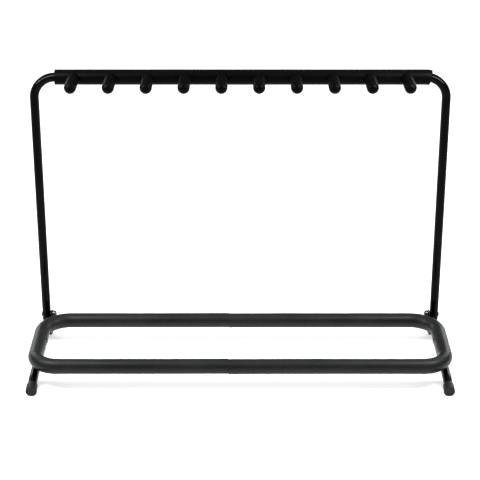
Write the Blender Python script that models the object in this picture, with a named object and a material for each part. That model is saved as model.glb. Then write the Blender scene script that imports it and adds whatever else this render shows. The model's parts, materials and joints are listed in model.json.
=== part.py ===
"""Folding guitar rack for nine guitars, in metres, +Z up.

The origin is on the floor at the centre of the footprint. +X is the rack's own left-to-right direction
seen from the front, and -Y is the front, where the pegs and the front feet point.
"""

import math

import bmesh
import bpy
from mathutils import Matrix, Vector

# Steel tube and padding
TUBE_RADIUS = 0.0110
TUBE_WALL = 0.0013
FOAM_RADIUS = 0.0184
SIDES = 14  # of a tube's or a sleeve's cross-section
CLEARANCE = 0.0003

# Layout of the frame
SIDE_X = 0.497  # plane of each upright, side rail and side of the loop
UPRIGHT_Y = 0.1593
TOP_Z = 0.687  # axis of the top rail
LOOP_Z = 0.053  # axis of the padded loop
REAR_BAR_Y = UPRIGHT_Y - 0.0347
FRONT_BAR_Y = UPRIGHT_Y - 0.2816
PIVOT_Z = 0.054
SEAM_X = -0.0285  # both halves come from equal tubes, and one plugs into the other
SPIGOT_LENGTH = 2 * abs(SEAM_X)
SPIGOT_RADIUS = 0.0093
SWAGE_LENGTH = 0.003

# Bends
TOP_BEND_RADIUS = 0.052
TOP_BEND_STEPS = 7
SLEEVE_OVERRUN_STEPS = 1  # steps of the bend that the right-hand top sleeve reaches over
REAR_BEND_RADIUS = 0.068
FRONT_BEND_RADIUS = 0.058
LOOP_BEND_STEPS = 7
RAIL_BEND_RADIUS = 0.100
RAIL_BEND_STEPS = 3
RAIL_DROP_ANGLE = math.radians(11.5)

# Pegs
PEG_COUNT = 10
PEG_PITCH = 0.0886
PEG_TILT = math.radians(2)
PEG_LENGTH = 0.095  # from the top rail's axis to the centre of the round end
PEG_ROD_RADIUS = 0.005
PEG_ROD_START = 0.0045
PEG_FOAM_RADIUS = 0.0145
PEG_END_STEPS = 3
PEG_SADDLE_SIDES = 28

# Feet
CAP_RADIUS = 0.0137
CAP_FLOOR = 0.0035
CAP_EDGE = 0.0012
REAR_CAP_HEIGHT = 0.015
FRONT_CAP_LENGTH = 0.026
FRONT_CAP_FLAT = 0.0008  # how far the cap's edge is flattened on the floor

# Hinge
PLATE_THICKNESS = 0.0030
PLATE_SIDES = 16
PIVOT_RADIUS = 0.0040
PIVOT_PLATE_RADIUS = 0.0110
WASHER_RADIUS = 0.0090
WASHER_THICKNESS = 0.0010
BOLT_HEAD_RADIUS = 0.0070
BOLT_HEAD_CROWN = 0.0045
BOLT_HEAD_HEIGHT = 0.0016
BOLT_REACH = 0.0070  # into the knob
RIVET_RADIUS = 0.0030
RIVET_HEAD_RADIUS = 0.0055
RIVET_HEAD_CROWN = 0.0042
RIVET_HEAD_HEIGHT = 0.0018
RIVET_PLATE_RADIUS = 0.0080
RIVET_OFFSETS = (-0.023, -0.042)  # from the upright's axis, along Y
KNOB_RADIUS = 0.0095
KNOB_RIM = 0.0040  # height of the knob's straight side, under its dome
KNOB_DOME = 0.0065
KNOB_DOME_STEPS = 5
BUMPER_RADIUS = 0.0075
BUMPER_THICKNESS = 0.0040
HARDWARE_SIDES = 12
SHARP_ANGLE = math.radians(35)

# Screws that hold the rails to the loop
SCREW_RADIUS = 0.0030
SCREW_HEAD_RADIUS = 0.0050
SCREW_HEAD_HEIGHT = 0.0040
SCREW_HEAD_TOP = 0.0035  # radius of the head's flat
SCREW_HEAD_RIM = 0.0020
SCREW_REACH = 0.0040  # into the loop's tube
SPACER_RADIUS = 0.0070
SCREW_OFFSETS = (0.055, -0.075)  # from the middle of the loop's side, along Y

RAIL_Z = LOOP_Z - FOAM_RADIUS - TUBE_RADIUS - CLEARANCE
LOOP_MIDDLE_Y = (REAR_BAR_Y + FRONT_BAR_Y) / 2
TUBE_SKIN = TUBE_RADIUS + CLEARANCE  # where a piece outside a tube may start
PLATE_SEAT = TUBE_SKIN + WASHER_THICKNESS + CLEARANCE
KNOB_SEAT = PLATE_SEAT + PLATE_THICKNESS + CLEARANCE
SIDE_NAMES = {-1: "left", 1: "right"}

POWDER_COAT = ("powder_coat", (0.012, 0.012, 0.013), 0.22, 0.0)
FOAM = ("foam", (0.030, 0.031, 0.032), 0.75, 0.0)
RUBBER = ("rubber", (0.020, 0.020, 0.020), 0.60, 0.0)
BLACK_STEEL = ("blackened_steel", (0.060, 0.060, 0.065), 0.35, 1.0)
NYLON = ("nylon", (0.015, 0.015, 0.015), 0.45, 0.0)


# Helpers


def clear_scene():
    for obj in list(bpy.data.objects):
        bpy.data.objects.remove(obj, do_unlink=True)


def material(spec):
    name, colour, roughness, metallic = spec
    found = bpy.data.materials.get(name)
    if found:
        return found
    made = bpy.data.materials.new(name)
    made.use_nodes = True
    shader = made.node_tree.nodes["Principled BSDF"]
    shader.inputs["Base Color"].default_value = (*colour, 1.0)
    shader.inputs["Roughness"].default_value = roughness
    shader.inputs["Metallic"].default_value = metallic
    made.diffuse_color = (*colour, 1.0)
    return made


def object_from(bm, name, spec, place=None):
    """Ends a bmesh as a named, smooth-shaded object, placed by a matrix."""
    mesh = bpy.data.meshes.new(name)
    bm.to_mesh(mesh)
    bm.free()
    mesh.shade_smooth()
    mesh.set_sharp_from_angle(angle=SHARP_ANGLE)
    obj = bpy.data.objects.new(name, mesh)
    bpy.context.scene.collection.objects.link(obj)
    if spec:
        mesh.materials.append(material(spec))
    if place:
        obj.matrix_world = place
    return obj


def cutter(bm, name, place=None):
    obj = object_from(bm, name, None, place)
    obj.hide_render = True
    obj.display_type = "WIRE"
    return obj


def cut(obj, tool):
    modifier = obj.modifiers.new(tool.name, "BOOLEAN")
    modifier.operation = "DIFFERENCE"
    modifier.object = tool


def frame_at(origin, z_axis, x_axis):
    """A matrix with its origin here, Z along z_axis and X near x_axis."""
    z = Vector(z_axis).normalized()
    y = z.cross(Vector(x_axis)).normalized()
    axes = Matrix((y.cross(z), y, z)).transposed()
    return Matrix.Translation(origin) @ axes.to_4x4()


def cylinder_cutter(name, radius, length, place, sides=HARDWARE_SIDES):
    """A cylinder centred on the matrix, with its axis along the matrix's Z."""
    bm = bmesh.new()
    bmesh.ops.create_cone(
        bm, cap_ends=True, segments=sides, radius1=radius, radius2=radius, depth=length
    )
    return cutter(bm, name, place)


def face_outwards(bm, inside_point):
    """Turns an open skin so that its first face looks away from a point on its axis."""
    bm.faces.ensure_lookup_table()
    bmesh.ops.recalc_face_normals(bm, faces=bm.faces)
    first = bm.faces[0]
    if first.normal.dot(first.calc_center_median() - inside_point) < 0:
        bmesh.ops.reverse_faces(bm, faces=bm.faces)


def ring_edges(bm, centre, heading, normal, radius):
    place = frame_at(centre, heading, normal)
    made = bmesh.ops.create_circle(bm, segments=SIDES, radius=radius, matrix=place)
    return list({edge for vert in made["verts"] for edge in vert.link_edges})


def extruded(bm, edges, offset, scale=1.0, about=None):
    made = bmesh.ops.extrude_edge_only(bm, edges=edges)["geom"]
    verts = [item for item in made if isinstance(item, bmesh.types.BMVert)]
    bmesh.ops.translate(bm, verts=verts, vec=offset)
    if scale != 1.0:
        space = Matrix.Translation(-(about + offset))
        bmesh.ops.scale(bm, verts=verts, vec=(scale,) * 3, space=space)
    return [item for item in made if isinstance(item, bmesh.types.BMEdge)]


def bent_tube(name, spec, start, heading, normal, moves, radius, wall, spigots=(False, False)):
    """A tube along straight moves (length,) and bends (bend radius, angle, steps) in the plane of normal.

    A positive angle turns anticlockwise about normal. spigots says which ends, first and last, are
    reduced to plug into another tube.
    """
    bm = bmesh.new()
    point, heading, normal = Vector(start), Vector(heading).normalized(), Vector(normal).normalized()
    ratio = SPIGOT_RADIUS / radius
    if spigots[0]:
        edges = ring_edges(bm, point - heading * SPIGOT_LENGTH, heading, normal, SPIGOT_RADIUS)
        edges = extruded(bm, edges, heading * SPIGOT_LENGTH)
        edges = extruded(bm, edges, heading * SWAGE_LENGTH, 1 / ratio, point)
        point = point + heading * SWAGE_LENGTH
    else:
        edges = ring_edges(bm, point, heading, normal, radius)
    for number, move in enumerate(moves):
        if len(move) == 1:
            swaged = spigots[0] * (number == 0) + spigots[1] * (number == len(moves) - 1)
            step = heading * (move[0] - swaged * SWAGE_LENGTH)
            edges = extruded(bm, edges, step)
            point = point + step
            continue
        bend_radius, angle, steps = move
        centre = point + normal.cross(heading) * math.copysign(bend_radius, angle)
        made = bmesh.ops.spin(bm, geom=edges, cent=centre, axis=normal, angle=angle, steps=steps)
        edges = [item for item in made["geom_last"] if isinstance(item, bmesh.types.BMEdge)]
        turn = Matrix.Rotation(angle, 3, normal)
        point = centre + turn @ (point - centre)
        heading = turn @ heading
    if spigots[1]:
        edges = extruded(bm, edges, heading * SWAGE_LENGTH, ratio, point)
        extruded(bm, edges, heading * SPIGOT_LENGTH)
    face_outwards(bm, Vector(start))
    obj = object_from(bm, name, spec)
    shell = obj.modifiers.new("wall", "SOLIDIFY")
    shell.thickness = wall
    shell.offset = -1
    shell.use_even_offset = True
    return obj


def turned(name, spec, profile, place, sides=SIDES):
    """A solid turned about the matrix's Z axis from the (radius, height) points of its outline."""
    bm = bmesh.new()
    verts = [bm.verts.new((radius, 0, height)) for radius, height in profile]
    edges = [bm.edges.new(pair) for pair in zip(verts, verts[1:])]
    whole = verts + edges
    up = (0, 0, 1)
    bmesh.ops.spin(bm, geom=whole, cent=(0, 0, 0), axis=up, angle=math.tau, steps=sides, use_merge=True)
    bmesh.ops.remove_doubles(bm, verts=bm.verts, dist=1e-6)
    bmesh.ops.recalc_face_normals(bm, faces=bm.faces)
    return object_from(bm, name, spec, place)


def arc_profile(radius, height, base, steps):
    """Points of a round end that rises by height from its rim at base to the axis."""
    angles = [math.pi / 2 * step / steps for step in range(steps + 1)]
    return [(radius * math.cos(angle), base + height * math.sin(angle)) for angle in angles]


def ring_profile(bore, radius, low, high):
    """The closed outline of a plain ring."""
    return [(bore, low), (radius, low), (radius, high), (bore, high), (bore, low)]


def seam_end(side):
    """Where this side's half of a bar ends, in X."""
    return SEAM_X + side * CLEARANCE / 2


# Base frame


def loop_half(name, spec, side, radius, wall, spigot):
    """One C-shaped half of the loop, from the seam in the rear bar round to the seam in the front bar."""
    seam = seam_end(side)
    half_width = abs(side * SIDE_X - seam)
    quarter = -side * math.pi / 2
    moves = [
        (half_width - REAR_BEND_RADIUS,),
        (REAR_BEND_RADIUS, quarter, LOOP_BEND_STEPS),
        (REAR_BAR_Y - FRONT_BAR_Y - REAR_BEND_RADIUS - FRONT_BEND_RADIUS,),
        (FRONT_BEND_RADIUS, quarter, LOOP_BEND_STEPS),
        (half_width - FRONT_BEND_RADIUS,),
    ]
    start = (seam, REAR_BAR_Y, LOOP_Z)
    return bent_tube(name, spec, start, (side, 0, 0), (0, 0, 1), moves, radius, wall, (spigot, spigot))


def screw_places(side):
    return {
        end: Vector((side * SIDE_X, LOOP_MIDDLE_Y + offset, 0))
        for end, offset in zip(("rear", "front"), SCREW_OFFSETS)
    }


def vertical_hole(obj, name, place, low, high, radius):
    middle = Matrix.Translation((place.x, place.y, (low + high) / 2))
    cut(obj, cylinder_cutter(name, radius, high - low, middle))


def cross_hole(obj, name, y, z, side, radius):
    place = frame_at((side * SIDE_X, y, z), (1, 0, 0), (0, 0, 1))
    cut(obj, cylinder_cutter(name, radius, 3 * TUBE_RADIUS, place))


def make_loop(side):
    label = SIDE_NAMES[side]
    tube = loop_half(
        f"base_loop_tube_{label}", POWDER_COAT, side, TUBE_RADIUS, TUBE_WALL, side < 0
    )
    foam = loop_half(f"base_foam_{label}", FOAM, side, FOAM_RADIUS, foam_thickness(), False)
    tapped = SCREW_RADIUS + CLEARANCE
    clear_of_spacer = SPACER_RADIUS + 2 * CLEARANCE
    for end, place in screw_places(side).items():
        vertical_hole(tube, f"tapped_hole_{end}_{label}", place, RAIL_Z, LOOP_Z, tapped)
        vertical_hole(foam, f"spacer_hole_{end}_{label}", place, RAIL_Z, LOOP_Z, clear_of_spacer)


def foam_thickness():
    """Leaves a bore that clears the tube's corners all round."""
    flat = math.cos(math.pi / SIDES)
    return (FOAM_RADIUS - TUBE_RADIUS) * flat - CLEARANCE


def rail_bend_start():
    """The rail bends down about the front bar, where the straights on both sides of the bend would meet."""
    return FRONT_BAR_Y + RAIL_BEND_RADIUS * math.tan(RAIL_DROP_ANGLE / 2)


def front_foot():
    """The centre of the rail's front end, and the direction that the leg points in there."""
    direction = Vector((0, -math.cos(RAIL_DROP_ANGLE), -math.sin(RAIL_DROP_ANGLE)))
    cap_end_z = CAP_RADIUS * math.cos(RAIL_DROP_ANGLE) - FRONT_CAP_FLAT
    end_z = cap_end_z + (CAP_FLOOR + CLEARANCE) * math.sin(RAIL_DROP_ANGLE)
    bend_drop = RAIL_BEND_RADIUS * (1 - math.cos(RAIL_DROP_ANGLE))
    slope_length = (RAIL_Z - bend_drop - end_z) / math.sin(RAIL_DROP_ANGLE)
    bend_end_y = rail_bend_start() - RAIL_BEND_RADIUS * math.sin(RAIL_DROP_ANGLE)
    end_y = bend_end_y - slope_length * math.cos(RAIL_DROP_ANGLE)
    return Vector((0, end_y, end_z)), direction, slope_length


def make_rail(side):
    label = SIDE_NAMES[side]
    rear_y = UPRIGHT_Y - TUBE_RADIUS - BUMPER_THICKNESS - 2 * CLEARANCE
    _, _, slope_length = front_foot()
    moves = [
        (rear_y - rail_bend_start(),),
        (RAIL_BEND_RADIUS, RAIL_DROP_ANGLE, RAIL_BEND_STEPS),
        (slope_length,),
    ]
    start = (side * SIDE_X, rear_y, RAIL_Z)
    rail = bent_tube(
        f"side_rail_{label}", POWDER_COAT, start, (0, -1, 0), (1, 0, 0), moves, TUBE_RADIUS, TUBE_WALL
    )
    for end, place in screw_places(side).items():
        vertical_hole(rail, f"rail_hole_{end}_{label}", place, 0, LOOP_Z, SCREW_RADIUS + CLEARANCE)
    for number, offset in enumerate(RIVET_OFFSETS):
        cross_hole(
            rail, f"rivet_hole_{number}_{label}", UPRIGHT_Y + offset, RAIL_Z, side, RIVET_RADIUS + CLEARANCE
        )
    make_stop_plug(label, side, rear_y)


def make_stop_plug(label, side, rear_y):
    """A plug in the rail's rear end, whose bumper meets the upright."""
    stem = TUBE_RADIUS - TUBE_WALL - 3 * CLEARANCE
    front = RIVET_OFFSETS[0] + UPRIGHT_Y + RIVET_RADIUS + 2 * CLEARANCE
    length = rear_y - front
    profile = [
        (0, -length),
        (stem, -length),
        (stem, CLEARANCE),
        (BUMPER_RADIUS, CLEARANCE),
        (BUMPER_RADIUS, BUMPER_THICKNESS),
        (0, BUMPER_THICKNESS),
    ]
    place = frame_at((side * SIDE_X, rear_y, RAIL_Z), (0, 1, 0), (1, 0, 0))
    turned(f"rail_stop_plug_{label}", NYLON, profile, place)


def cap_profile(length):
    """A rubber cup, closed at height 0 and open at the top."""
    bore = TUBE_RADIUS + CLEARANCE
    return [
        (0, 0),
        (CAP_RADIUS - CAP_EDGE, 0),
        (CAP_RADIUS, CAP_EDGE),
        (CAP_RADIUS, length - CAP_EDGE),
        (CAP_RADIUS - CAP_EDGE, length),
        (bore, length),
        (bore, CAP_FLOOR),
        (0, CAP_FLOOR),
    ]


def make_front_cap(side):
    label = SIDE_NAMES[side]
    end, direction, _ = front_foot()
    base = Vector((side * SIDE_X, end.y, end.z)) + direction * (CAP_FLOOR + CLEARANCE)
    place = frame_at(base, -direction, (1, 0, 0))
    cap = turned(f"front_foot_cap_{label}", RUBBER, cap_profile(FRONT_CAP_LENGTH), place)
    bm = bmesh.new()
    bmesh.ops.create_cube(bm, size=4 * CAP_RADIUS)
    cut(cap, cutter(bm, f"floor_{label}", Matrix.Translation((base.x, base.y, -2 * CAP_RADIUS))))


def make_rail_screws(side):
    label = SIDE_NAMES[side]
    head_top = RAIL_Z - TUBE_SKIN
    tip = LOOP_Z - TUBE_RADIUS + SCREW_REACH
    screw = [
        (0, head_top - SCREW_HEAD_HEIGHT),
        (SCREW_HEAD_TOP, head_top - SCREW_HEAD_HEIGHT),
        (SCREW_HEAD_RADIUS, head_top - SCREW_HEAD_RIM),
        (SCREW_HEAD_RADIUS, head_top),
        (SCREW_RADIUS, head_top),
        (SCREW_RADIUS, tip - CLEARANCE),
        (0, tip),
    ]
    spacer = ring_profile(SCREW_RADIUS + CLEARANCE, SPACER_RADIUS, RAIL_Z + TUBE_SKIN, LOOP_Z - TUBE_SKIN)
    for end, spot in screw_places(side).items():
        place = Matrix.Translation(spot)
        turned(f"rail_screw_{end}_{label}", BLACK_STEEL, screw, place, HARDWARE_SIDES)
        turned(f"rail_spacer_{end}_{label}", NYLON, spacer, place, HARDWARE_SIDES)


# Hinge


def inwards_from(side, y, z):
    """A matrix in this side's plane, with Z towards the middle of the rack."""
    return frame_at((side * SIDE_X, y, z), (-side, 0, 0), (0, 0, 1))


def make_hinge_plate(side):
    """A flat plate on the rail's inner side, whose rear end holds the upright's pivot."""
    label = SIDE_NAMES[side]
    spots = [(UPRIGHT_Y, PIVOT_Z, PIVOT_PLATE_RADIUS)]
    spots += [(UPRIGHT_Y + offset, RAIL_Z, RIVET_PLATE_RADIUS) for offset in RIVET_OFFSETS]
    bm = bmesh.new()
    for y, z, radius in spots:
        for depth in (PLATE_SEAT, PLATE_SEAT + PLATE_THICKNESS):
            place = frame_at((side * (SIDE_X - depth), y, z), (1, 0, 0), (0, 1, 0))
            bmesh.ops.create_circle(bm, segments=PLATE_SIDES, radius=radius, matrix=place)
    hull = bmesh.ops.convex_hull(bm, input=bm.verts)
    bmesh.ops.delete(bm, geom=hull["geom_interior"] + hull["geom_unused"], context="VERTS")
    bmesh.ops.dissolve_limit(bm, angle_limit=math.radians(1), verts=bm.verts, edges=bm.edges)
    bmesh.ops.recalc_face_normals(bm, faces=bm.faces)
    plate = object_from(bm, f"hinge_plate_{label}", POWDER_COAT)
    cross_hole(plate, f"pivot_hole_{label}", UPRIGHT_Y, PIVOT_Z, side, PIVOT_RADIUS + CLEARANCE)
    for end, (y, z, _) in zip(("rear", "front"), spots[1:]):
        cross_hole(plate, f"plate_rivet_hole_{end}_{label}", y, z, side, RIVET_RADIUS + CLEARANCE)


def make_rivets(side):
    """Rivets through the rail, with a collar that holds the plate off the rail."""
    profile = [
        (0, -TUBE_SKIN - RIVET_HEAD_HEIGHT),
        (RIVET_HEAD_CROWN, -TUBE_SKIN - RIVET_HEAD_HEIGHT),
        (RIVET_HEAD_RADIUS, -TUBE_SKIN),
        (RIVET_RADIUS, -TUBE_SKIN),
        (RIVET_RADIUS, TUBE_SKIN),
        (RIVET_HEAD_RADIUS, TUBE_SKIN),
        (RIVET_HEAD_RADIUS, PLATE_SEAT - CLEARANCE),
        (RIVET_RADIUS, PLATE_SEAT - CLEARANCE),
        (RIVET_RADIUS, KNOB_SEAT),
        (RIVET_HEAD_RADIUS, KNOB_SEAT),
        (RIVET_HEAD_CROWN, KNOB_SEAT + RIVET_HEAD_HEIGHT),
        (0, KNOB_SEAT + RIVET_HEAD_HEIGHT),
    ]
    for end, offset in zip(("rear", "front"), RIVET_OFFSETS):
        name = f"hinge_rivet_{end}_{SIDE_NAMES[side]}"
        place = inwards_from(side, UPRIGHT_Y + offset, RAIL_Z)
        turned(name, BLACK_STEEL, profile, place, HARDWARE_SIDES)


def make_pivot(side):
    """A bolt with a low round head outside, a washer by the plate and a domed knob on the inner side."""
    label = SIDE_NAMES[side]
    place = inwards_from(side, UPRIGHT_Y, PIVOT_Z)
    tip = KNOB_SEAT + BOLT_REACH
    bolt = [
        (0, -TUBE_SKIN - BOLT_HEAD_HEIGHT),
        (BOLT_HEAD_CROWN, -TUBE_SKIN - BOLT_HEAD_HEIGHT),
        (BOLT_HEAD_RADIUS, -TUBE_SKIN),
        (PIVOT_RADIUS, -TUBE_SKIN),
        (PIVOT_RADIUS, tip),
        (0, tip),
    ]
    turned(f"pivot_bolt_{label}", BLACK_STEEL, bolt, place, HARDWARE_SIDES)
    bore = PIVOT_RADIUS + CLEARANCE
    washer = ring_profile(bore, WASHER_RADIUS, TUBE_SKIN, TUBE_SKIN + WASHER_THICKNESS)
    turned(f"pivot_washer_{label}", NYLON, washer, place)
    knob = [(0, tip + CLEARANCE), (bore, tip + CLEARANCE), (bore, KNOB_SEAT), (KNOB_RADIUS, KNOB_SEAT)]
    knob += arc_profile(KNOB_RADIUS, KNOB_DOME, KNOB_SEAT + KNOB_RIM, KNOB_DOME_STEPS)
    turned(f"pivot_knob_{label}", NYLON, knob, place)


# Upright frame


def peg_axis(number):
    """Where a peg's axis leaves the top rail's axis, and its direction."""
    x = (number - (PEG_COUNT - 1) / 2) * PEG_PITCH
    return Vector((x, UPRIGHT_Y, TOP_Z)), Vector((0, -math.cos(PEG_TILT), math.sin(PEG_TILT)))


def peg_hole(obj, number, radius, reach):
    """A hole through the front wall only, as far out as reach."""
    origin, direction = peg_axis(number)
    middle = frame_at(origin + direction * reach / 2, direction, (1, 0, 0))
    cut(obj, cylinder_cutter(f"{obj.name}_hole_{number + 1}", radius, reach, middle))


def make_upright(side):
    label = SIDE_NAMES[side]
    low = CAP_FLOOR + CLEARANCE
    seam = seam_end(side)
    rise = TOP_Z - TOP_BEND_RADIUS - low
    run = abs(side * SIDE_X - seam) - TOP_BEND_RADIUS
    moves = [(rise,), (TOP_BEND_RADIUS, -side * math.pi / 2, TOP_BEND_STEPS), (run,)]
    start = (side * SIDE_X, UPRIGHT_Y, low)
    tube = bent_tube(
        f"upright_tube_{label}", POWDER_COAT, start, (0, 0, 1), (0, 1, 0), moves, TUBE_RADIUS, TUBE_WALL,
        (False, side < 0),
    )
    cross_hole(tube, f"upright_pivot_hole_{label}", UPRIGHT_Y, PIVOT_Z, side, PIVOT_RADIUS + CLEARANCE)
    sleeve = [(run,)]
    if side > 0:
        overrun = math.pi / 2 * SLEEVE_OVERRUN_STEPS / TOP_BEND_STEPS
        sleeve.append((TOP_BEND_RADIUS, overrun, SLEEVE_OVERRUN_STEPS))
    foam = bent_tube(
        f"top_foam_{label}", FOAM, (seam, UPRIGHT_Y, TOP_Z), (side, 0, 0), (0, 1, 0), sleeve,
        FOAM_RADIUS, foam_thickness(),
    )
    for number in range(PEG_COUNT):
        if peg_axis(number)[0].x * side > 0:
            peg_hole(tube, number, PEG_ROD_RADIUS + CLEARANCE, 2 * TUBE_RADIUS)
            peg_hole(foam, number, PEG_ROD_RADIUS + 2 * CLEARANCE, 2 * FOAM_RADIUS)


def make_rear_cap(side):
    place = Matrix.Translation((side * SIDE_X, UPRIGHT_Y, 0))
    turned(f"rear_foot_cap_{SIDE_NAMES[side]}", RUBBER, cap_profile(REAR_CAP_HEIGHT), place)


def make_peg(number):
    origin, direction = peg_axis(number)
    place = frame_at(origin, direction, (1, 0, 0))
    end = PEG_LENGTH - CLEARANCE
    rod = [(0, PEG_ROD_START), (PEG_ROD_RADIUS, PEG_ROD_START), (PEG_ROD_RADIUS, end), (0, end)]
    turned(f"peg_rod_{number + 1}", POWDER_COAT, rod, place, HARDWARE_SIDES)
    bore = PEG_ROD_RADIUS + CLEARANCE
    sleeve = [(0, PEG_LENGTH), (bore, PEG_LENGTH), (bore, TUBE_RADIUS), (PEG_FOAM_RADIUS, TUBE_RADIUS)]
    sleeve += arc_profile(PEG_FOAM_RADIUS, PEG_FOAM_RADIUS, PEG_LENGTH, PEG_END_STEPS)
    foam = turned(f"peg_foam_{number + 1}", FOAM, sleeve, place)
    rail = cylinder_cutter(
        f"rail_shape_{number + 1}",
        FOAM_RADIUS + CLEARANCE,
        3 * PEG_FOAM_RADIUS,
        frame_at(origin, (1, 0, 0), (0, 0, 1)),
        PEG_SADDLE_SIDES,
    )
    cut(foam, rail)


def hang_on_fold_axis(objects):
    """Parents the upright frame, with its cutters, to an empty on the hinge's axis."""
    axis = bpy.data.objects.new("fold_axis", None)
    axis.location = (0, UPRIGHT_Y, PIVOT_Z)
    bpy.context.scene.collection.objects.link(axis)
    bpy.context.view_layer.update()
    for obj in objects:
        obj.parent = axis
        obj.matrix_parent_inverse = axis.matrix_world.inverted()


def main():
    clear_scene()
    for side in SIDE_NAMES:
        make_loop(side)
        make_rail(side)
        make_front_cap(side)
        make_rail_screws(side)
        make_hinge_plate(side)
        make_rivets(side)
        make_pivot(side)
    base_frame = set(bpy.data.objects)
    for side in SIDE_NAMES:
        make_upright(side)
        make_rear_cap(side)
    for number in range(PEG_COUNT):
        make_peg(number)
    hang_on_fold_axis(sorted(set(bpy.data.objects) - base_frame, key=lambda obj: obj.name))


main()
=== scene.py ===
"""Looks of the folding guitar rack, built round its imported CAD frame."""
import json
import math

import bmesh
import bpy
from mathutils import Matrix, Vector, noise


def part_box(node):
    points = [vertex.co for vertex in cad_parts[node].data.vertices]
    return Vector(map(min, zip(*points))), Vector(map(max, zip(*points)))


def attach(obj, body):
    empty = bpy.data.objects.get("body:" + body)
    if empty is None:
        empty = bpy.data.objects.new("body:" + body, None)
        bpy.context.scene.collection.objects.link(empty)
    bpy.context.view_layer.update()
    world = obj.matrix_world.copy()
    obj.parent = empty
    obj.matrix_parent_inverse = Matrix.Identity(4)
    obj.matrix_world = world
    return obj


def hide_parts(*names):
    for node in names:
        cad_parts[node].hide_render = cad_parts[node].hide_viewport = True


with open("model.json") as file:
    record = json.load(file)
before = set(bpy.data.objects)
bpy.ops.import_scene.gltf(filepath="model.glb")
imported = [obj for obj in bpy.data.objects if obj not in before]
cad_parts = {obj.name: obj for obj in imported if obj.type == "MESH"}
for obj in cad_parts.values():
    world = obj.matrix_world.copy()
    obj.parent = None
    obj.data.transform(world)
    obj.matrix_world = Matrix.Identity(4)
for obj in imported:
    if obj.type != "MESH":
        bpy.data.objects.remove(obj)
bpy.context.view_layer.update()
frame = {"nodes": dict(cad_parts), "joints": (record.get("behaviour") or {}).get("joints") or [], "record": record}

SIDES = {"left": -1, "right": 1}
X, Y, Z = Vector((1, 0, 0)), Vector((0, 1, 0)), Vector((0, 0, 1))

# Sizes that no CAD box gives, in metres and radians
TUBE_RADIUS = 0.0110
TUBE_WALL = 0.0013
FOAM_RADIUS = 0.0184
PEG_RADIUS = 0.0145
CAP_RADIUS = 0.0137
FRONT_CAP_LENGTH = 0.026
REAR_BEND = 0.068
FRONT_BEND = 0.058
TOP_BEND = 0.052
SLEEVE_OVERRUN = math.pi / 2 / 7  # angle of the right-hand top bend that the padding reaches over
RAIL_BEND = 0.100
RAIL_DROP = math.radians(11.5)
CLEARANCE = 0.0003
TOUCHING = 0.00001  # the padding's soft halves press together at the seam
SPIGOT_RADIUS = 0.0093


def mid(node):
    """The middle of a CAD node's box."""
    low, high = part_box(node)
    return (low + high) / 2


def mount(name):
    """Where a mount of the record lies."""
    return Vector(next(m["pos_m"] for m in frame["record"]["mounts"] if m["name"] == name))


# Places read from the frame
SIDE_X, UPRIGHT_Y, _ = mid("rear_foot_cap_right")
PIVOT = Vector(frame["joints"][0]["pos_m"])
TOP_Z = mid("top_foam_left").z
LOOP_Z = mid("base_foam_right").z
REAR_Y = mount("guitar_body_rest_rear").y
FRONT_Y = mount("guitar_body_rest_front").y
SEAM_X = (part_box("base_foam_right")[0].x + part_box("base_foam_left")[1].x) / 2
RAIL_Z = mid("hinge_rivet_rear_right").z


# Materials


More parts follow.
